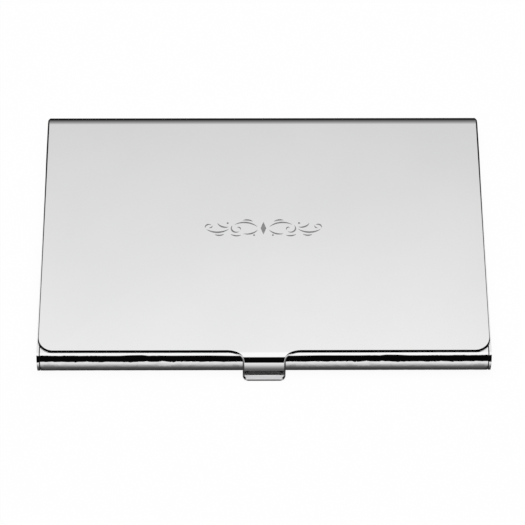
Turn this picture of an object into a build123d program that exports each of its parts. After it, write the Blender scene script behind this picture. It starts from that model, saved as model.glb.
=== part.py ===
from build123d import *
import os
from math import cos, radians, sin, tan

# Pocket case for business cards, pressed from polished sheet metal, shown closed. Millimetres.
# +X runs along the hinge, -Y is the front with the thumb tab, +Z is up. The origin is on the
# underside of the floor, on the centre line, halfway from the lid's front edge to its rolled back.

os.makedirs("parts", exist_ok=True)

# What the case holds: a stack of business cards.
card_length = 88.9
card_width = 50.8
stack_height = 4.25
card_side_play = 0.5
card_end_play = 0.3

# Sheet thicknesses.
lid_sheet = 0.5
pan_sheet = 0.5
tray_sheet = 0.35

# Gaps between the nested sheets, from the floor up and from the front back.
tray_under_gap = 0.2
tray_over_gap = 0.15
lid_gap = 0.1
lid_side_inset = 0.02
tray_setback = 1.7
hem_gap = 0.2
hinge_reach = 4.3
seam_gap = 0.2

# Hinge line: a rod through the pan's side walls, washers, the lid's brackets and the tray's ears.
rod_radius = 0.8
running_gap = 0.05
rod_end_inset = 0.03
rod_end_round = 0.15
washer_sheet = 0.3
washer_play = 0.025
washer_radius = 1.55
ear_radius = 1.75
curl_gap = 0.15
roll_lift = 0.1
roll_end_angle = 0.0
curl_end_angle = 60.0
lid_travel = 100.0
sweep_margin = 4.0
curl_side_gap = 0.2
joggle_reach = 3.0

# Front: the pan's bulged front wall and the lid's thumb tab. A pull is how far a curve follows
# the straight line that it starts along, as a share of the way to the corner.
front_bulge = 1.95
bulge_setback = 0.2
bulge_height = 2.7
bulge_upper_pulls = (0.45, 0.55)
bulge_lower_pulls = (0.6, 0.6)
seam_depth = 0.15
corner_tab_length = 1.5
curl_lap = 0.6
tab_width = 8.9
tab_gap = 0.12
tab_bend_forward = 0.1
tab_bend_drop = 3.2
tab_bend_pulls = (0.7, 0.48)
tab_flare_width = 3.3
tab_flare_depth = 2.05
lip_bend_radius = 0.15
lip_height = 0.75
lip_slope = 12.0
lip_length = 1.12
lip_corner_width = 1.3
lip_corner_depth = 1.05
lip_edge_round = 0.1

# Edges and bends.
lid_corner_radius = 3.4
lid_edge_round = 0.45
pan_bend_radius = 0.8
tray_bend_radius = 0.6

# Card tray: retaining flanges, front stop, thumb notch and ears.
flange_width = 3.5
stop_height = 1.4
notch_radius = 9.0
ear_arm_overlap = 1.0
ear_arm_below = 1.3
ear_arm_above = 1.6

# Lifter springs: coils on the rod, a hook in the tray's ear, a short leg against the pan's curl.
wire_radius = 0.25
coil_gap = 0.25
coil_pitch = 0.53
coil_turns = 7.25
coil_end_gap = 0.25
spring_arm = 3.3
hook_stand = 0.2
spring_leg = 1.0

# Lid brackets: the flange spot-welded under the lid.
bracket_flange_width = 4.2
bracket_flange_back = 1.75
bracket_tray_gap = 0.3

# Ornament engraved in the middle of the lid.
engraving_depth = 0.08
lozenge_width = 1.2
lozenge_length = 3.2

# How far a cutting shape overruns what it cuts.
overrun = 1.0

# Derived sizes.
tray_half = card_length / 2 + card_side_play + tray_sheet
hinge_space = 2 * washer_sheet + lid_sheet + 4 * washer_play
case_half = tray_half + hinge_space + pan_sheet
tray_base = pan_sheet + tray_under_gap
tray_top = tray_base + 2 * tray_sheet + stack_height
wall_top = tray_top + tray_over_gap
lid_under = wall_top + lid_gap
case_height = lid_under + lid_sheet
roll_radius = (case_height - roll_lift) / 2
tray_length = tray_sheet + card_width + card_end_play
case_depth = tray_setback + tray_length + hinge_reach + roll_radius
front_y = -case_depth / 2
axis_y = case_depth / 2 - roll_radius
axis_z = roll_lift + roll_radius
bulge_y = front_y + bulge_setback
tray_front = front_y + tray_setback
tray_back = tray_front + tray_length
lid_half = case_half - lid_side_inset
curl_radius = roll_radius - lid_sheet - curl_gap
hole_radius = rod_radius + running_gap
bracket_inner = tray_half + washer_sheet + 2 * washer_play
bracket_outer = bracket_inner + lid_sheet
coil_radius = rod_radius + coil_gap + wire_radius
tab_face_forward = front_bulge - bulge_setback + tab_gap + lid_sheet


def side_view(sketch, x_low, x_high):
    """Extrudes a sketch, drawn as (y, z), from x_low to x_high."""
    return Pos(x_low, 0, 0) * extrude(Plane.YZ * sketch, amount=x_high - x_low)


def plan_view(sketch, z_low, z_high):
    """Extrudes a sketch, drawn as (x, y), from z_low to z_high."""
    return Pos(0, 0, z_low) * extrude(sketch, amount=z_high - z_low)


def span(low_a, high_a, low_b, high_b):
    """A rectangle between two limits each way."""
    middle = Pos((low_a + high_a) / 2, (low_b + high_b) / 2)
    return middle * Rectangle(high_a - low_a, high_b - low_b)


def block(x, y, z):
    """A box from three pairs of limits."""
    middle = Pos((x[0] + x[1]) / 2, (y[0] + y[1]) / 2, (z[0] + z[1]) / 2)
    return middle * Box(x[1] - x[0], y[1] - y[0], z[1] - z[0])


def both_sides(piece):
    return piece + mirror(piece, Plane.YZ)


def at_hinge(sketch):
    """Places a side-view sketch on the hinge line."""
    return Pos(axis_y, axis_z) * sketch


def ring(outer, inner, start, end):
    """A ring sector about the hinge line. Angles are from the back, positive upwards."""
    steps = 6
    angles = [radians(start + (end - start) * n / steps) for n in range(steps + 1)]
    rim = [(2 * outer * cos(a), 2 * outer * sin(a)) for a in angles]
    return at_hinge((Circle(outer) - Circle(inner)) & make_face(Polyline((0, 0), *rim, close=True)))


def pierce(radius, x_low, x_high):
    """A cylinder on the hinge line."""
    return side_view(at_hinge(Circle(radius)), x_low, x_high)


def eased(start, corner, end, pulls):
    """A curve from start to end that leaves and arrives along the lines through the corner."""
    a, b, c = Vector(*start), Vector(*corner), Vector(*end)
    return Bezier(a, a + (b - a) * pulls[0], c + (b - c) * pulls[1], c)


def bulge_shape(inset):
    """Side view of the space inside the front wall, at a depth under its outer skin."""
    front = bulge_y - front_bulge + inset
    low, high = inset, wall_top - inset
    return make_face(
        [
            eased((bulge_y, high), (front, high), (front, bulge_height), bulge_upper_pulls),
            eased((front, bulge_height), (front, low), (bulge_y, low), bulge_lower_pulls),
            Line((bulge_y, low), (bulge_y, high)),
        ]
    )


def make_pan():
    """Floor, side walls, bulged front wall and rear curl, folded from one sheet."""
    outer = span(-case_half, case_half, 0, 2 * wall_top)
    outer = fillet(outer.vertices().group_by(Axis.Y)[0], pan_bend_radius)
    inner_half = case_half - pan_sheet
    inner = span(-inner_half, inner_half, pan_sheet, 2 * wall_top)
    inner = fillet(inner.vertices().group_by(Axis.Y)[0], pan_bend_radius - pan_sheet)
    channel = extrude(Plane.XZ * (outer - inner), amount=case_depth, both=True)

    bulge = bulge_shape(0)
    sweep_end = roll_end_angle - lid_travel - sweep_margin
    swept = ring(roll_radius + curl_gap, curl_radius, sweep_end, 90)
    outline = span(bulge_y, axis_y, 0, wall_top) + bulge + at_hinge(Circle(curl_radius))
    side = side_view(outline - swept, -case_half, case_half)

    pan = channel & side
    between_walls = (-inner_half, inner_half)
    up = (0, wall_top)
    joggle_y = axis_y - joggle_reach
    pan = pan - block(between_walls, (-case_depth, bulge_y), up)
    pan = pan - block(between_walls, (joggle_y, case_depth), up)

    front = bulge - bulge_shape(pan_sheet)
    hem_y = tray_front - hem_gap
    front = front + span(bulge_y, hem_y, wall_top - pan_sheet, wall_top)
    front = front + span(bulge_y, hem_y, 0, pan_sheet)
    front_half = inner_half - seam_gap
    front_wall = side_view(front, -front_half, front_half)
    corner = bulge_shape(seam_depth) - bulge_shape(seam_depth + pan_sheet)
    corner_tabs = both_sides(side_view(corner, front_half - corner_tab_length, inner_half))

    curl = ring(curl_radius, curl_radius - pan_sheet, sweep_end, curl_end_angle)
    meet = [
        (axis_y + r * cos(radians(sweep_end)), axis_z + r * sin(radians(sweep_end)))
        for r in (curl_radius, curl_radius - pan_sheet)
    ]
    ramp_top = (joggle_y, pan_sheet)
    ramp = make_face(Polyline((joggle_y, 0), meet[0], meet[1], ramp_top, close=True))
    lap = span(joggle_y - curl_lap, joggle_y, 0, pan_sheet)
    curl_half = bracket_inner - curl_side_gap
    rear_curl = side_view(curl + ramp + lap, -curl_half, curl_half)

    pan = pan + front_wall + corner_tabs + rear_curl
    return pan - pierce(rod_radius, -case_half, case_half)


def tab_skin(inset):
    """Side view of the space under the tab's bend, at a depth under its outer skin."""
    back, face = front_y - tab_bend_forward, front_y - tab_face_forward + inset
    low, high = case_height - tab_bend_drop, case_height - inset
    bend = eased((back, high), (face, high), (face, low), tab_bend_pulls)
    return make_face([bend, Line((face, low), (back, low)), Line((back, low), (back, high))])


def tab_section():
    """Side view of the sheet that folds over the front: bend, tab face and outward lip."""
    bend_z = case_height - tab_bend_drop
    bar = span(front_y - tab_bend_forward, front_y + lid_corner_radius, lid_under, case_height)
    slope = radians(lip_slope)
    face_y = front_y - tab_face_forward
    heel_y = face_y + lid_sheet
    heel_z = lip_height - lid_sheet * cos(slope) + lid_sheet * (1 - sin(slope)) * tan(slope)
    tip_y, tip_z = face_y - lip_length * cos(slope), lip_height - lip_length * sin(slope)
    under_y, under_z = tip_y + lid_sheet * sin(slope), tip_z - lid_sheet * cos(slope)
    outline = Polyline(
        (face_y, bend_z),
        (face_y, lip_height),
        (tip_y, tip_z),
        (under_y, under_z),
        (heel_y, heel_z),
        (heel_y, bend_z),
        close=True,
    )
    lip = make_face(outline)
    lip = fillet(lip.vertices().sort_by(Axis.X)[0:2], lip_edge_round)
    lip = fillet(lip.vertices().sort_by_distance((face_y, lip_height))[0], lip_bend_radius)
    lip = fillet(lip.vertices().sort_by_distance((heel_y, heel_z))[0], lip_bend_radius + lid_sheet)
    return bar + (tab_skin(0) - tab_skin(lid_sheet)) + lip, front_y - tip_y


def tab_outline(tip_forward):
    """Plan of the tab: flared neck, straight sides and rounded lip corners."""
    half = tab_width / 2
    flare_x = half + tab_flare_width
    flare_y = front_y - tab_flare_depth
    corner_x = half - lip_corner_width
    tip_y = front_y - tip_forward
    corner_y = tip_y + lip_corner_depth
    back_y = front_y + lid_corner_radius
    right = make_face(
        [
            Line((0, back_y), (flare_x, back_y)),
            Line((flare_x, back_y), (flare_x, front_y)),
            EllipticalCenterArc((flare_x, flare_y), tab_flare_width, tab_flare_depth, 90, arc_size=90),
            Line((half, flare_y), (half, corner_y)),
            EllipticalCenterArc((corner_x, corner_y), lip_corner_width, lip_corner_depth, 270, arc_size=90),
            Line((corner_x, tip_y), (0, tip_y)),
            Line((0, tip_y), (0, back_y)),
        ]
    )
    return right + mirror(right, Plane.YZ)


def stroke(start, end, bulge, width):
    """A pen stroke: two arcs between the same points, fattest in the middle."""
    a, b = Vector(*start), Vector(*end)
    along = (b - a).normalized()
    across = Vector(-along.Y, along.X)
    middle = (a + b) / 2
    near = middle + across * (bulge - width / 2)
    far = middle + across * (bulge + width / 2)
    return make_face([ThreePointArc(a, near, b), ThreePointArc(b, far, a)])


def make_ornament():
    """A symmetric scroll of separate strokes: a lozenge, waved stems with curled ends, and beads."""
    strokes = [
        stroke((1.2, 0.3), (6.2, 0.9), 0.85, 0.36),
        stroke((6.55, 0.75), (5.1, -0.75), 1.0, 0.34),
        stroke((4.95, -0.45), (5.65, 0.15), 0.4, 0.26),
        stroke((7.3, -0.15), (12.2, -0.2), -0.85, 0.4),
        stroke((12.4, 0.05), (11.1, 0.85), -0.5, 0.32),
        stroke((10.9, 0.7), (11.6, 0.15), -0.25, 0.24),
        stroke((1.2, -0.4), (4.3, -1.35), -0.5, 0.34),
        stroke((2.2, 1.7), (4.4, 2.0), 0.25, 0.34),
        stroke((7.4, 0.35), (9.8, 1.35), -0.5, 0.36),
        stroke((8.3, -1.45), (10.4, -1.55), -0.3, 0.32),
        stroke((4.7, -1.7), (7.0, -1.5), -0.3, 0.32),
    ]
    beads = [Pos(7.6, 1.3) * Circle(0.22), Pos(2.0, -1.75) * Circle(0.2)]
    side, tip = lozenge_width / 2, lozenge_length / 2
    lozenge = make_face(Polyline((side, 0), (0, tip), (-side, 0), (0, -tip), close=True))
    right = strokes + beads
    return [lozenge] + right + [mirror(shape, Plane.YZ) for shape in right]


def make_lid():
    """Flat top with rounded front corners, rear roll, thumb tab and engraving, from one sheet."""
    top = span(-lid_half, lid_half, front_y, axis_y)
    top = fillet(top.vertices().group_by(Axis.Y)[0], lid_corner_radius)
    lid = plan_view(top, lid_under, case_height)
    roll = ring(roll_radius, roll_radius - lid_sheet, roll_end_angle, 90)
    lid = lid + side_view(roll, -lid_half, lid_half)
    lid = fillet(lid_rim(lid), lid_edge_round)

    section, tip_forward = tab_section()
    neck_half = tab_width / 2 + tab_flare_width
    tab = side_view(section, -neck_half, neck_half)
    tab = tab & plan_view(tab_outline(tip_forward), 0, case_height)
    lid = lid + tab
    for shape in make_ornament():
        lid = lid - plan_view(shape, case_height - engraving_depth, case_height + engraving_depth)
    return lid


def lid_rim(lid):
    """The upper edges of the sheet round the sides and front."""
    return [e for e in lid.faces().sort_by(Axis.Z)[-1].edges() if e.center().Y < axis_y - overrun]


def make_bracket():
    """Right-hand hinge bracket: an ear on the rod with a flange welded under the lid."""
    flange_low, flange_high = tray_back + bracket_tray_gap, axis_y - bracket_flange_back
    flange_z = lid_under - lid_sheet
    arm = span(flange_low, flange_high, flange_z, lid_under)
    ear = make_hull((at_hinge(Circle(ear_radius)).edges() + arm.edges()))
    plate = side_view(ear, bracket_inner, bracket_outer)
    foot = block(
        (bracket_outer - bracket_flange_width, bracket_outer),
        (flange_low, flange_high),
        (flange_z, lid_under),
    )
    return plate + foot - pierce(hole_radius, bracket_inner - overrun, bracket_outer + overrun)


def make_tray():
    """Card tray that lifts with the lid: floor, side walls, retaining flanges, ears and stop."""
    mid_z = (tray_base + tray_top) / 2
    height = tray_top - tray_base
    outer = Pos(0, mid_z) * RectangleRounded(2 * tray_half, height, tray_bend_radius)
    inner = Pos(0, mid_z) * RectangleRounded(
        2 * (tray_half - tray_sheet), height - 2 * tray_sheet, tray_bend_radius - tray_sheet
    )
    mouth_half = tray_half - tray_sheet - flange_width
    mouth = span(-mouth_half, mouth_half, tray_top - 2 * tray_sheet, tray_top + tray_sheet)
    channel = extrude(Plane.XZ * (outer - inner - mouth), amount=tray_length)
    tray = Pos(0, tray_back, 0) * channel

    for stop_y in (tray_front, tray_back - tray_sheet):
        stop = block(
            (-mouth_half, mouth_half),
            (stop_y, stop_y + tray_sheet),
            (tray_base, tray_base + tray_sheet + stop_height),
        )
        tray = tray + stop
    arm = span(
        tray_back - ear_arm_overlap, tray_back, axis_z - ear_arm_below, axis_z + ear_arm_above
    )
    ear = make_hull((at_hinge(Circle(ear_radius)).edges() + arm.edges()))
    ear_plate = side_view(ear, tray_half - tray_sheet, tray_half)
    hook_y, hook_z = axis_y - spring_arm, axis_z + coil_radius
    hook_hole = Pos(hook_y, hook_z) * Circle(wire_radius + running_gap)
    ear_plate = ear_plate - side_view(hook_hole, tray_half - overrun, tray_half + overrun)
    tray = tray + both_sides(ear_plate)

    notch = Pos(0, tray_front) * Circle(notch_radius)
    tray = tray - plan_view(notch, 0, tray_base + stop_height + overrun)
    return tray - pierce(hole_radius, -case_half, case_half)


def make_spring():
    """Right-hand torsion spring on the rod: coil, arm with hook, and short leg."""
    coil_x = tray_half - tray_sheet - coil_end_gap - wire_radius
    place = Plane(origin=(coil_x, axis_y, axis_z), x_dir=(0, 0, 1), z_dir=(-1, 0, 0))
    helix = place * Helix(coil_pitch, coil_pitch * coil_turns, coil_radius)
    start, leave = helix @ 0, helix % 0
    end, follow = helix @ 1, helix % 1
    arm_end = start - leave * spring_arm
    path = Wire([Line(arm_end, start), helix, Line(end, end + follow * spring_leg)])
    profile = Plane(origin=arm_end, z_dir=leave) * Circle(wire_radius)
    spring = sweep(profile, path=path)
    hook = Plane(origin=arm_end, z_dir=(1, 0, 0)) * Circle(wire_radius)
    hook_length = tray_half + hook_stand - arm_end.X
    return spring + Pos(*arm_end) * Sphere(wire_radius) + extrude(hook, amount=hook_length)


def make_washer(x_low):
    disc = at_hinge(Circle(washer_radius) - Circle(hole_radius))
    return side_view(disc, x_low, x_low + washer_sheet)


def make_rod():
    """Hinge rod pressed into the side walls, with rounded ends just inside their faces."""
    half = case_half - rod_end_inset
    rod = pierce(rod_radius, -half, half)
    return fillet(rod.edges().filter_by(GeomType.CIRCLE), rod_end_round)


right_hand = {
    "lid_bracket": make_bracket(),
    "lifter_spring": make_spring(),
    "inner_washer": make_washer(tray_half + washer_play),
    "outer_washer": make_washer(bracket_outer + washer_play),
}
pieces = {
    "base_pan": make_pan(),
    "lid_shell": make_lid(),
    "card_tray": make_tray(),
    "hinge_rod": make_rod(),
}
for name, piece in right_hand.items():
    pieces[name + "_right"] = piece
    pieces[name + "_left"] = mirror(piece, Plane.YZ)

for name, piece in pieces.items():
    export_step(piece, os.path.join("parts", name + ".step"))
    box = piece.bounding_box()
    print(name, len(piece.solids()), round(piece.volume, 2), box.min, box.max)
print("case", 2 * case_half, case_depth, case_height, "axis", axis_y, axis_z)
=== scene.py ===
from math import cos, pi, radians, sin, tan

import bmesh
import bpy
from mathutils import Matrix, Vector


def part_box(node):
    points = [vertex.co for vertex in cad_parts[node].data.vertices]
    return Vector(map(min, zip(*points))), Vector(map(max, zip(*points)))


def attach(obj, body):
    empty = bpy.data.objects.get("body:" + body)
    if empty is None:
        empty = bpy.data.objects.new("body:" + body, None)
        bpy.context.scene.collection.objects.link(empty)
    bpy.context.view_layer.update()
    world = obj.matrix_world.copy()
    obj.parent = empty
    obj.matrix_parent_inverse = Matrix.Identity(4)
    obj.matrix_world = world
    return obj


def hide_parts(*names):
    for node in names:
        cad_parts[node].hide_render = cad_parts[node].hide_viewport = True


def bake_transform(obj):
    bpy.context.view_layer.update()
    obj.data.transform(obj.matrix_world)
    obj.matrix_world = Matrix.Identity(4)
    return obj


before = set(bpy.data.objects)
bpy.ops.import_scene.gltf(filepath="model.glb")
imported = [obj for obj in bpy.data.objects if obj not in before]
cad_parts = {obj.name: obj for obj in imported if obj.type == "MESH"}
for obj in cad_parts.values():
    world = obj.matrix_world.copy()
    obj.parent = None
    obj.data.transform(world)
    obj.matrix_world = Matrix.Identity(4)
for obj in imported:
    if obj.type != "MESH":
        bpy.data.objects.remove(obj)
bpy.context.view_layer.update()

# Lengths are written in millimetres and multiplied by MM. +X runs along the hinge, -Y is the
# front with the thumb tab, and +Z is up.
MM = 0.001


# ---------------------------------------------------------------- shader maths

class Value:
    """A shader socket that can be used in arithmetic. Each operation adds a Math node."""

    def __init__(self, tree, socket):
        self.tree, self.socket = tree, socket

    def math(self, operation, *others):
        return self._join(operation, (self, *others))

    def _join(self, operation, terms):
        node = self.tree.nodes.new("ShaderNodeMath")
        node.operation = operation
        for slot, term in zip(node.inputs, terms):
            if isinstance(term, Value):
                self.tree.links.new(term.socket, slot)
            else:
                slot.default_value = term
        return Value(self.tree, node.outputs[0])

    def __add__(self, other):
        return self.math("ADD", other)

    def __radd__(self, other):
        return self.math("ADD", other)

    def __sub__(self, other):
        return self.math("SUBTRACT", other)

    def __rsub__(self, other):
        return self._join("SUBTRACT", (other, self))

    def __mul__(self, other):
        return self.math("MULTIPLY", other)

    def __truediv__(self, other):
        return self.math("DIVIDE", other)

    def __gt__(self, other):
        return self.math("GREATER_THAN", other)

    def __lt__(self, other):
        return self.math("LESS_THAN", other)

    def __abs__(self):
        return self.math("ABSOLUTE")

    def at_least(self, other):
        return self.math("MAXIMUM", other)

    def at_most(self, other):
        return self.math("MINIMUM", other)

    def clamp(self):
        return self.at_least(0.0).at_most(1.0)

    def root(self):
        return self.math("SQRT")


class Tree:
    """A node tree with one method that adds a node: its type, its settings, then its inputs."""

    def __init__(self, owner):
        owner.use_nodes = True
        self.tree = owner.node_tree
        self.tree.nodes.clear()

    def add(self, kind, settings=None, output=0, **inputs):
        node = self.tree.nodes.new("ShaderNode" + kind)
        for key, value in (settings or {}).items():
            if key == "stops":
                self._stops(node.color_ramp, value)
            else:
                setattr(node, key, value)
        for key, value in inputs.items():
            slot = self._slot(node, key)
            if isinstance(value, Value):
                self.tree.links.new(value.socket, slot)
            else:
                slot.default_value = value
        if node.outputs:
            return Value(self.tree, node.outputs[output])
        return None

    def split(self, vector):
        """The three numbers of a vector."""
        return [self.add("SeparateXYZ", output=n, slot_0=vector) for n in range(3)]

    def blend(self, share, first, second):
        """A colour between two colours."""
        return self.add("Mix", {"data_type": "RGBA"}, 2, slot_0=share, slot_6=first, slot_7=second)

    def noise(self, place, scale, detail=2.0):
        return self.add("TexNoise", Vector=place, Scale=scale, Detail=detail)

    def _slot(self, node, key):
        if key.startswith("slot_"):
            return node.inputs[int(key[5:])]
        return node.inputs[key.replace("_", " ")]

    def _stops(self, ramp, stops):
        while len(ramp.elements) > 1:
            ramp.elements.remove(ramp.elements[-1])
        ramp.elements[0].position = stops[0][0]
        ramp.elements[0].color = colour(stops[0][1])
        for place, level in stops[1:]:
            ramp.elements.new(place).color = colour(level)


def colour(level):
    """An opaque colour from one grey level or from three."""
    if isinstance(level, (int, float)):
        level = (level, level, level)
    return (*level, 1.0)


# ---------------------------------------------------------------- camera, light and floor

CAMERA_ELEVATION = radians(57.65)
CAMERA_TURN = radians(-0.75)
CAMERA_ROLL = radians(0.541)
CAMERA_DISTANCE = 525.0 * MM
CAMERA_TARGET = Vector((-0.217, -6.60, 3.2)) * MM
CAMERA_LENS = 169.5

# The sky's gradients are (degrees above the horizon, share of white).
SKY_TOP = 90.0
REAR_SKY = [(0, 0.02), (30, 0.27), (50, 0.55), (60, 0.88), (80, 1.0)]
SIDE_SKY = [(0, 0.005), (30, 0.06), (42, 0.3), (52, 0.7), (60, 0.87), (75, 0.95)]
FRONT_SKY = [(0, 0.002), (49, 0.002), (52, 0.95), (62, 1.0)]
WALL_EDGE = 0.72
WALL_FADE = 0.10
CARD_EDGE = 0.05
CARD_FADE = 0.15

# The table's painted shadow gradient is (millimetres away from the case, share of white).
GLOW_REACH = 30.0
TABLE_PAINTED_SHADOW = [(0, 0.03), (2, 0.09), (7, 0.6), (12, 0.78), (30, 0.9)]
# Painted shade on the mirrored table behind the case.
REAR_PAINTED_SHADE = 0.01
TABLE_EDGE = 30.0 * MM
BEYOND_TABLE = 0.002
TABLE_FADE = 2.0 * MM

# The stage's sizes, and how much of the floor's white is its own light.
STAGE_RADIUS = 1.5
FLOOR_DEPTH = 0.05 * MM
TABLE_DEPTH = 0.02 * MM
FLOOR_PAINT = 0.95
FLOOR_OWN_LIGHT = 0.95


def make_camera():
    """A long lens that looks down on the case from the front."""
    across = cos(CAMERA_ELEVATION)
    back = Vector((across * sin(CAMERA_TURN), -across * cos(CAMERA_TURN), sin(CAMERA_ELEVATION)))
    turn = back.to_track_quat("Z", "Y").to_matrix() @ Matrix.Rotation(CAMERA_ROLL, 3, "Z")
    data = bpy.data.cameras.new("camera")
    data.lens = CAMERA_LENS
    data.sensor_width = 36
    data.clip_start = 0.01
    camera = bpy.data.objects.new("camera", data)
    place = Matrix.Translation(CAMERA_TARGET + back * CAMERA_DISTANCE)
    camera.matrix_world = place @ turn.to_4x4()
    bpy.context.scene.collection.objects.link(camera)
    bpy.context.scene.camera = camera


def ramp(tree, place, stops, reach):
    """A grey that follows the levels given at places from 0 to reach."""
    scaled = [(at / reach, level) for at, level in stops]
    return tree.add("ValToRGB", {"stops": scaled}, slot_0=place / reach)


def make_sky():
    """A white ceiling, a wall that darkens downwards behind, and a black card in front."""
    world = bpy.data.worlds.new("studio")
    bpy.context.scene.world = world
    t = Tree(world)
    x, y, z = t.split(t.add("TexCoord"))
    height = z.math("ARCSINE") / radians(1)
    across = (x * x + y * y).root().at_least(0.001)
    toward_rear = y / across
    behind = ((toward_rear - WALL_EDGE) / WALL_FADE).clamp()
    before = ((0 - toward_rear - CARD_EDGE) / CARD_FADE).clamp()
    sky = ramp(t, height, SIDE_SKY, SKY_TOP)
    sky = t.blend(behind, sky, ramp(t, height, REAR_SKY, SKY_TOP))
    sky = t.blend(before, sky, ramp(t, height, FRONT_SKY, SKY_TOP))
    t.add("OutputWorld", Surface=t.add("Background", Color=sky, Strength=1.0))


def stage_object(shape, name, material, hidden_from):
    """Makes the mesh part of the surroundings, unseen by some kinds of ray."""
    mesh = bpy.data.meshes.new(name)
    shape.to_mesh(mesh)
    shape.free()
    mesh.materials.append(material)
    obj = bpy.data.objects.new(name, mesh)
    bpy.context.scene.collection.objects.link(obj)
    for ray in hidden_from:
        setattr(obj, "visible_" + ray, False)


def flat_sheet(depth):
    """A wide flat square just under the case."""
    shape = bmesh.new()
    bmesh.ops.create_grid(shape, x_segments=1, y_segments=1, size=STAGE_RADIUS)
    bmesh.ops.translate(shape, verts=shape.verts, vec=(0, 0, -depth))
    return shape


def floor_white():
    """Pale paper, lit mostly by itself so that the case leaves almost no shadow."""
    material = bpy.data.materials.new("floor_white")
    t = Tree(material)
    lit = t.add("BsdfDiffuse", Color=colour(FLOOR_PAINT))
    bright = t.add("Emission", Color=colour(1.0), Strength=1.0)
    t.add("OutputMaterial", Surface=t.add("MixShader", slot_0=FLOOR_OWN_LIGHT, slot_1=lit, slot_2=bright))
    return material


def table_painted_shadow():
    """What polished sides mirror of the table: a painted shadow, dark at the case and pale further out, and
    painted shade behind.
    """
    material = bpy.data.materials.new("table_painted_shadow")
    t = Tree(material)
    x, y, z = t.split(t.add("TexCoord", output=3))
    low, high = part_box("base_pan")
    middle = (low + high) / 2
    beside = (abs(x - middle.x) - (high.x - middle.x)).at_least(0.0)
    along = (abs(y - middle.y) - (high.y - middle.y)).at_least(0.0)
    away = (beside * beside + along * along).root() / MM
    glow = ramp(t, away, TABLE_PAINTED_SHADOW, GLOW_REACH)
    behind = ((y - high.y) / TABLE_FADE).clamp()
    glow = t.blend(behind, glow, colour(REAR_PAINTED_SHADE))
    beyond = ((low.y - TABLE_EDGE - y) / TABLE_FADE).clamp()
    glow = t.blend(beyond, glow, colour(BEYOND_TABLE))
    t.add("OutputMaterial", Surface=t.add("Emission", Color=glow, Strength=1.0))
    return material


def backdrop_white():
    """An even white beyond the floor."""
    material = bpy.data.materials.new("backdrop_white")
    t = Tree(material)
    t.add("OutputMaterial", Surface=t.add("Emission", Color=colour(1.0), Strength=1.0))
    return material


def make_stage():
    """The floor that is seen, the table that is only mirrored, the backdrop and one soft lamp."""
    unlit = ("diffuse", "shadow", "transmission", "volume_scatter")
    stage_object(flat_sheet(FLOOR_DEPTH), "floor", floor_white(), ("glossy",))
    # The table glows and is seen only in reflections. Its emission carries a painted shadow around the case.
    stage_object(flat_sheet(TABLE_DEPTH), "table", table_painted_shadow(), ("camera", *unlit))
    wall = bmesh.new()
    bmesh.ops.create_uvsphere(wall, u_segments=48, v_segments=24, radius=STAGE_RADIUS)
    stage_object(wall, "backdrop", backdrop_white(), ("glossy", *unlit))
    lamp = bpy.data.lights.new("overhead", "AREA")
    lamp.shape = "DISK"
    lamp.size = 1.0
    lamp.energy = 8
    overhead = bpy.data.objects.new("overhead", lamp)
    overhead.location = (0, 0.1, 1.2)
    overhead.visible_glossy = False
    bpy.context.scene.collection.objects.link(overhead)


# ---------------------------------------------------------------- finishes

lid_low, lid_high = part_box("lid_shell")
pan_low, pan_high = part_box("base_pan")
rod_low, rod_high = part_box("hinge_rod")
LID_TOP = lid_high.z
AXIS_Y = (rod_low.y + rod_high.y) / 2
AXIS_Z = (rod_low.z + rod_high.z) / 2
ENGRAVING_DEPTH = 0.08 * MM
ENGRAVING_HALF = (14.0 * MM, 3.0 * MM)
# How far back from the tab's tip the lip's painted shade reaches.
LIP_SHADE_REACH = 0.9 * MM
POLISH_SHADE = (0.97, 0.972, 0.972)
GRAIN_SHADE = (0.84, 0.845, 0.85)
FROST_DARK = (0.26, 0.26, 0.265)
FROST_PALE = (0.52, 0.52, 0.52)
# The darker grey of the lip's painted shade.
LIP_PAINTED_SHADE = (0.66, 0.66, 0.67)
# Near-black tones of the band in the pan's front corner seams.
SEAM_BAND_DARK = 0.01
SEAM_BAND_PALE = 0.05
SEAM_FROM = 0.49 * MM
SEAM_TO = 0.71 * MM
SEAM_REACH = 2.2 * MM


def tinted(tone, shade):
    """A grey tone darkened by a share for each of red, green and blue."""
    return colour([tone * part for part in shade])


def stretched(t, place, scale, turn=0.0):
    """Coordinates scaled unevenly, so that a pattern is drawn out along the small scale."""
    return t.add("Mapping", Vector=place, Scale=scale, Rotation=(0, 0, turn))


def hairlines(t, place, turn, thin):
    """Sparse fine polishing lines in one direction."""
    lines = t.noise(stretched(t, place, (60, 3200, 3200), turn), 1.0, 1.0)
    patches = t.noise(place, 140.0)
    return ((lines - thin) * 14).clamp() * ((patches - 0.45) * 5).clamp()


def polished_silver(name, tone, worked=None):
    """Mirror polish: faint cloudy tone, sparse hairlines and the slight wave of pressed sheet.
    The worked function adds what belongs to one piece and gives back its tone and roughness."""
    material = bpy.data.materials.new(name)
    t = Tree(material)
    place = t.add("TexCoord", output=3)
    cloud = t.noise(place, 40.0, 4.0)
    haze = t.noise(place, 420.0, 3.0)
    lines = (hairlines(t, place, 0.35, 0.66) + hairlines(t, place, -1.1, 0.68)).clamp()
    base = t.blend(((cloud - 0.35) * 3).clamp(), tinted(tone, POLISH_SHADE), colour(tone))
    rough = 0.02 + cloud * 0.02 + ((haze - 0.5) * 0.06).clamp() + lines * 0.06
    if worked:
        base, rough = worked(t, place, base, rough)
    wave = t.noise(place, 90.0, 1.0)
    bump = t.add("Bump", Height=wave + lines * 0.02, Strength=0.25, Distance=0.002 * MM)
    shader = t.add("BsdfPrincipled", Base_Color=base, Metallic=1.0, Roughness=rough, Normal=bump)
    t.add("OutputMaterial", Surface=shader)
    return material


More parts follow.
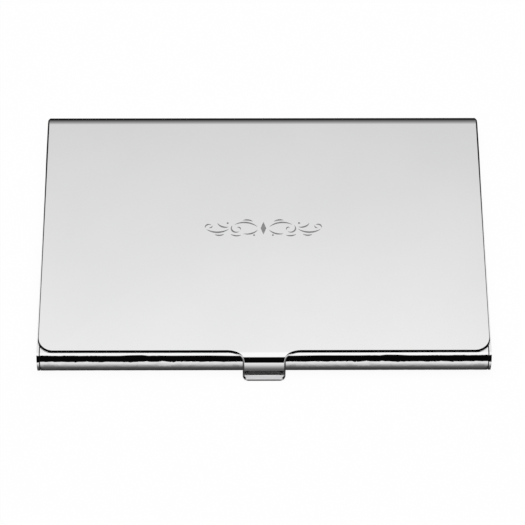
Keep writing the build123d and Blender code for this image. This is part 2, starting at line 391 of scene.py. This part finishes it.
def lid_details(t, place, base, rough):
    """The scroll's frosted floor, and the lip rubbed to satin where a thumb lifts it, with a painted shade
    of darker grey laid over it.
    """
    x, y, z = t.split(place)
    inside = (abs(x) < ENGRAVING_HALF[0]) * (abs(y) < ENGRAVING_HALF[1])
    depth = (z < LID_TOP - 0.3 * ENGRAVING_DEPTH) * (z > LID_TOP - 2 * ENGRAVING_DEPTH)
    cut = inside * depth
    grain = t.noise(stretched(t, place, (3000, 900, 900), 0.8), 1.0)
    base = t.blend(cut, base, t.blend(grain, colour(FROST_DARK), colour(FROST_PALE)))
    # Painted shade: a band along the lip is painted darker grey, standing in for the dim reflections there.
    # Its extra roughness is the rubbed satin.
    lip_shade_streaks = t.noise(stretched(t, place, (300, 2600, 2600)), 1.0)
    lip_shade = (lid_low.y + LIP_SHADE_REACH - y > 0) * (0.5 + lip_shade_streaks).clamp()
    base = t.blend(lip_shade, base, colour(LIP_PAINTED_SHADE))
    return base, rough + cut * 0.36 + lip_shade * 0.12


def pan_details(t, place, base, rough):
    """A near-black band, flecked with noise, along the front corner seams."""
    x, y, z = t.split(place)
    side = pan_high.x - abs(x)
    seam = (side > SEAM_FROM) * (side < SEAM_TO) * (y < pan_low.y + SEAM_REACH)
    seam_flecks = t.noise(place, 2500.0)
    base = t.blend(seam, base, t.blend(seam_flecks, colour(SEAM_BAND_DARK), colour(SEAM_BAND_PALE)))
    return base, rough + seam * 0.5


def brushed_steel(name, tone, grain_scale, rough_low, rough_high):
    """Satin sheet: long fine grain lines with uneven pressure and a little smudging."""
    material = bpy.data.materials.new(name)
    t = Tree(material)
    place = t.add("TexCoord", output=3)
    grain = t.noise(stretched(t, place, grain_scale), 1.0, 3.0)
    smudge = t.noise(place, 70.0, 3.0)
    base = t.blend((grain * 0.8 + smudge * 0.3).clamp(), tinted(tone, GRAIN_SHADE), colour(tone))
    rough = rough_low + (grain * 0.6 + smudge * 0.4) * (rough_high - rough_low)
    bump = t.add("Bump", Height=grain, Strength=0.3, Distance=0.01 * MM)
    shader = t.add("BsdfPrincipled", Base_Color=base, Metallic=1.0, Roughness=rough, Normal=bump)
    t.add("OutputMaterial", Surface=shader)
    return material


def drawn_metal(name, dark, pale, rough, pitch):
    """Wire, rod and stamped washers: fine marks left by the die, darker where oil has dried."""
    material = bpy.data.materials.new(name)
    t = Tree(material)
    place = t.add("TexCoord", output=3)
    marks = t.noise(stretched(t, place, pitch), 1.0, 2.0)
    oil = t.noise(place, 600.0, 4.0)
    base = t.blend((marks * 0.5 + oil * 0.6).clamp(), colour(dark), colour(pale))
    gloss = rough + oil * 0.12 + marks * 0.05
    bump = t.add("Bump", Height=marks, Strength=0.3, Distance=0.008 * MM)
    shader = t.add("BsdfPrincipled", Base_Color=base, Metallic=1.0, Roughness=gloss, Normal=bump)
    t.add("OutputMaterial", Surface=shader)
    return material


# ---------------------------------------------------------------- pieces

MERGE = 0.0005 * MM
FLAT_ANGLE = radians(0.5)
CREASE = radians(32)


def finish_piece(shape, name, body, node, material):
    """Makes the mesh an object that stands for its CAD node, shaded smooth up to its creases.
    A piece with no body is left unattached."""
    bmesh.ops.recalc_face_normals(shape, faces=shape.faces)
    mesh = bpy.data.meshes.new(name)
    shape.to_mesh(mesh)
    shape.free()
    piece = bpy.data.objects.new(name, mesh)
    bpy.context.scene.collection.objects.link(piece)
    mesh.materials.append(material)
    shade_smooth(piece)
    if body:
        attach(piece, body)
    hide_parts(node)
    return piece


def shade_smooth(piece):
    mesh = piece.data
    mesh.polygons.foreach_set("use_smooth", [True] * len(mesh.polygons))
    mesh.set_sharp_from_angle(angle=CREASE)
    steady = piece.modifiers.new("even_normals", "WEIGHTED_NORMAL")
    steady.keep_sharp = True


def merged_copy(node):
    """A node's mesh with its loose triangles joined and its flat faces made whole."""
    shape = bmesh.new()
    shape.from_mesh(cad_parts[node].data)
    bmesh.ops.remove_doubles(shape, verts=shape.verts, dist=MERGE)
    bmesh.ops.dissolve_limit(shape, angle_limit=FLAT_ANGLE, verts=shape.verts, edges=shape.edges)
    return shape


# Sizes of the lid's sheet, in millimetres. Forward lengths are from the lid's straight front edge.
SHEET = 0.5
CORNER_RADIUS = 3.4
EDGE_ROUND = 0.4
EDGE_SEGMENTS = 6
EDGE_PROFILE = 0.28
FRONT_Y = -lid_high.y / MM
TAB_HALF = 4.45
FLARE_WIDTH = 3.3
FLARE_DEPTH = 2.05
BEND_FORWARD = 0.1
BEND_REACH = 2.27
BEND_DROP = 3.2
BEND_PULLS = (0.7, 0.48)
BEND_LENGTH = 4.5
LIP_HEIGHT = 0.75
LIP_SLOPE = radians(7)
LIP_RADIUS = 0.15
LIP_RUN = 1.12
LIP_CORNER = (1.3, 1.15)
LIP_ROUND = 0.25
TOP = LID_TOP / MM
ROLL_RADIUS = TOP - AXIS_Z / MM

ROLL_START = FRONT_Y - AXIS_Y / MM
ROLL_END = ROLL_START - ROLL_RADIUS * pi / 2
BEND_END = BEND_FORWARD + BEND_LENGTH
LIP_TURN = pi / 2 - LIP_SLOPE
LIP_TANGENT = LIP_RADIUS * tan(LIP_TURN / 2)
FACE_LENGTH = TOP - BEND_DROP - LIP_HEIGHT - LIP_TANGENT
LIP_BEND_START = BEND_END + FACE_LENGTH
LIP_BEND_END = LIP_BEND_START + LIP_RADIUS * LIP_TURN
TAB_END = LIP_BEND_END + LIP_RUN - LIP_TANGENT


def tab_bend(t):
    """The bend over the front at a share t of its way: how far forward and down it has gone,
    and which way it is heading."""
    points = [(0, 0), (BEND_REACH * BEND_PULLS[0], 0), (BEND_REACH, BEND_DROP * (1 - BEND_PULLS[1])),
              (BEND_REACH, BEND_DROP)]
    points = [Vector(point) for point in points]
    while len(points) > 2:
        points = [first.lerp(second, t) for first, second in zip(points, points[1:])]
    return points[0].lerp(points[1], t), (points[1] - points[0]).normalized()


def fold(v):
    """Where a point of the flat blank, v forward of the front edge, lies once the sheet is bent:
    its place (y, z) on the outer skin and the outward normal there."""
    if v < ROLL_START:
        turn = (ROLL_START - v) / ROLL_RADIUS
        out = (sin(turn), cos(turn))
        return (AXIS_Y / MM + ROLL_RADIUS * out[0], AXIS_Z / MM + ROLL_RADIUS * out[1]), out
    if v < BEND_FORWARD:
        return (FRONT_Y - v, TOP), (0, 1)
    bend_y, bend_z = FRONT_Y - BEND_FORWARD, TOP - BEND_DROP
    if v < BEND_END:
        gone, heading = tab_bend((v - BEND_FORWARD) / BEND_LENGTH)
        return (bend_y - gone.x, TOP - gone.y), (-heading.y, heading.x)
    face_y = bend_y - BEND_REACH
    if v < LIP_BEND_START:
        return (face_y, bend_z - (v - BEND_END)), (-1, 0)
    turn = min((v - LIP_BEND_START) / LIP_RADIUS, LIP_TURN)
    centre = (face_y - LIP_RADIUS, LIP_HEIGHT + LIP_TANGENT)
    out = (-cos(turn), sin(turn))
    place = (centre[0] - LIP_RADIUS * out[0], centre[1] - LIP_RADIUS * out[1])
    beyond = max(0.0, v - LIP_BEND_END)
    return (place[0] - beyond * sin(turn), place[1] - beyond * cos(turn)), out


def arc(centre, width, depth, start, end, steps):
    """Points along a quarter of an ellipse. Angles are in degrees."""
    angles = [radians(start + (end - start) * n / steps) for n in range(steps + 1)]
    return [(centre[0] + width * cos(a), centre[1] + depth * sin(a)) for a in angles]


def blank_place(forward):
    """The flat blank's coordinate for a point that far forward in plan."""
    if forward < BEND_FORWARD:
        return forward
    low, high = 0.0, 1.0
    while high - low > 1e-6:
        middle = (low + high) / 2
        if tab_bend(middle)[0].x < forward - BEND_FORWARD:
            low = middle
        else:
            high = middle
    return BEND_FORWARD + BEND_LENGTH * low


def blank_outline(half):
    """Right half of the lid's flat blank, from the hinge to the tip of the tab."""
    corner = arc((half - CORNER_RADIUS, -CORNER_RADIUS), CORNER_RADIUS, CORNER_RADIUS, 0, 90, 16)
    flare_x = TAB_HALF + FLARE_WIDTH
    flare = arc((flare_x, FLARE_DEPTH), FLARE_WIDTH, FLARE_DEPTH, 270, 180, 18)
    flare = [(x, blank_place(forward)) for x, forward in flare]
    corner_x, corner_v = TAB_HALF - LIP_CORNER[0], TAB_END - LIP_CORNER[1]
    tip = arc((corner_x, corner_v), *LIP_CORNER, 0, 90, 12)
    return [(half, ROLL_END)] + corner + flare + tip


def bend_stations():
    """Places where the blank is divided so that it bends smoothly."""
    roll = [ROLL_START + (ROLL_END - ROLL_START) * n / 30 for n in range(30)]
    bend = [BEND_FORWARD + (BEND_END - BEND_FORWARD) * n / 30 for n in range(31)]
    face = [BEND_END + FACE_LENGTH * n / 6 for n in range(1, 7)]
    lip = [LIP_BEND_START + (LIP_BEND_END - LIP_BEND_START) * n / 10 for n in range(1, 11)]
    return roll + bend + face + lip


def divide(shape, place, normal):
    """Cuts every face that a plane crosses."""
    geometry = shape.verts[:] + shape.edges[:] + shape.faces[:]
    bmesh.ops.bisect_plane(shape, geom=geometry, dist=MERGE, plane_co=place, plane_no=normal)


def make_lid(material):
    """The lid pressed from its flat blank: edges rounded, then roll, bend and lip formed."""
    half = (lid_high.x - lid_low.x) / 2 / MM
    right = blank_outline(half)
    loop = right + [(-x, v) for x, v in reversed(right)]
    shape = bmesh.new()
    blank = shape.faces.new([shape.verts.new((x, v, 0)) for x, v in loop])
    lower = bmesh.ops.extrude_face_region(shape, geom=[blank], use_keep_orig=True)["geom"]
    moved = [item for item in lower if isinstance(item, bmesh.types.BMVert)]
    bmesh.ops.translate(shape, verts=moved, vec=(0, 0, -SHEET))
    bmesh.ops.recalc_face_normals(shape, faces=shape.faces)
    rim = [e for e in shape.edges if all(abs(v.co.z) < MERGE and v.co.y > ROLL_END - 1 for v in e.verts)]
    rim = [e for e in rim if not all(abs(v.co.y - ROLL_END) < MERGE for v in e.verts)]
    bmesh.ops.bevel(shape, geom=rim, offset=EDGE_ROUND, offset_type="OFFSET", segments=EDGE_SEGMENTS,
                    profile=EDGE_PROFILE, affect="EDGES", material=-1, clamp_overlap=False)
    patch_x, patch_y = (size / MM for size in ENGRAVING_HALF)
    for place in bend_stations() + [FRONT_Y - patch_y, FRONT_Y + patch_y]:
        divide(shape, (0, place, 0), (0, 1, 0))
    for place in (-patch_x, patch_x):
        divide(shape, (place, 0, 0), (1, 0, 0))
    for vert in shape.verts:
        x, v, depth = vert.co.x, vert.co.y, -vert.co.z
        if v > TAB_END - EDGE_ROUND - MERGE and depth < EDGE_ROUND + MERGE:
            v = TAB_END - (TAB_END - v) * LIP_ROUND
            depth = depth * LIP_ROUND
        (y, z), out = fold(v)
        vert.co = Vector((x, y - out[0] * depth, z - out[1] * depth)) * MM
    return engrave(shape, "lid_sheet_polished", material)


def engrave(shape, name, material):
    """Sinks the scroll into the top, with the cutters raised from the lid's own engraved floors."""
    cutters = bmesh.new()
    cutters.from_mesh(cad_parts["lid_shell"].data)
    bmesh.ops.remove_doubles(cutters, verts=cutters.verts, dist=MERGE)
    floor_z = LID_TOP - ENGRAVING_DEPTH
    rest = [f for f in cutters.faces if any(abs(v.co.z - floor_z) > 0.002 * MM for v in f.verts)]
    rest += [f for f in cutters.faces if f not in rest and abs(f.calc_center_median().y) > ENGRAVING_HALF[1]]
    bmesh.ops.delete(cutters, geom=rest, context="FACES")
    raised = bmesh.ops.extrude_face_region(cutters, geom=cutters.faces[:], use_keep_orig=True)["geom"]
    moved = [item for item in raised if isinstance(item, bmesh.types.BMVert)]
    bmesh.ops.translate(cutters, verts=moved, vec=(0, 0, 2 * ENGRAVING_DEPTH))
    bmesh.ops.recalc_face_normals(cutters, faces=cutters.faces)
    tool_mesh = bpy.data.meshes.new("scroll_cutters")
    cutters.to_mesh(tool_mesh)
    cutters.free()
    tool = bpy.data.objects.new("scroll_cutters", tool_mesh)
    bpy.context.scene.collection.objects.link(tool)

    blank = bpy.data.meshes.new(name + "_blank")
    bmesh.ops.recalc_face_normals(shape, faces=shape.faces)
    shape.to_mesh(blank)
    shape.free()
    plain = bpy.data.objects.new(name + "_blank", blank)
    bpy.context.scene.collection.objects.link(plain)
    cut = plain.modifiers.new("engraving", "BOOLEAN")
    cut.operation = "DIFFERENCE"
    cut.solver = "EXACT"
    cut.object = tool
    view = bpy.context.evaluated_depsgraph_get()
    finished = bmesh.new()
    finished.from_mesh(plain.evaluated_get(view).to_mesh())
    bpy.data.objects.remove(plain)
    bpy.data.objects.remove(tool)
    piece = finish_piece(finished, name, "lid", "lid_shell", material)
    for face in piece.data.polygons:
        x, y, z = face.center
        if abs(x) < ENGRAVING_HALF[0] and abs(y) < ENGRAVING_HALF[1] and z > LID_TOP - 2 * ENGRAVING_DEPTH:
            face.use_smooth = False
    return piece


def make_pieces():
    silver = polished_silver("silver_polish_lid", 0.965, lid_details)
    pan_silver = polished_silver("silver_polish_pan", 0.955, pan_details)
    satin = brushed_steel("satin_tray_steel", 0.66, (60, 5200, 5200), 0.22, 0.42)
    plain = brushed_steel("pressed_bracket_steel", 0.60, (2600, 140, 140), 0.28, 0.46)
    rod = drawn_metal("polished_rod_steel", (0.52, 0.52, 0.53), (0.72, 0.72, 0.73), 0.12, (9000, 300, 300))
    wire = drawn_metal("spring_wire_steel", (0.30, 0.30, 0.31), (0.52, 0.52, 0.54), 0.22, (500, 3000, 3000))
    brass = drawn_metal("washer_brass", (0.55, 0.40, 0.17), (0.80, 0.63, 0.33), 0.20, (800, 2600, 2600))
    make_lid(silver)
    finish_piece(merged_copy("base_pan"), "pan_sheet_polished", "case", "base_pan", pan_silver)
    finish_piece(merged_copy("card_tray"), "tray_sheet_satin", "tray", "card_tray", satin)
    for side in ("right", "left"):
        bracket = merged_copy("lid_bracket_" + side)
        finish_piece(bracket, "bracket_pressed_" + side, "lid", "lid_bracket_" + side, plain)
        make_spring(side, wire)
        for place in ("inner", "outer"):
            finish_node(place + "_washer_" + side, brass)
    finish_node("hinge_rod", rod)


def make_spring(side, material):
    """The lifter spring copied from its CAD node, with its placement baked into its mesh and no body given.
    """
    node = "lifter_spring_" + side
    spring = finish_piece(merged_copy(node), "spring_wound_" + side, None, node, material)
    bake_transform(spring)


def finish_node(node, material):
    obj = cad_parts[node]
    obj.data.materials.clear()
    obj.data.materials.append(material)


make_camera()
make_sky()
make_stage()
make_pieces()

bpy.context.scene.view_settings.view_transform = "Standard"
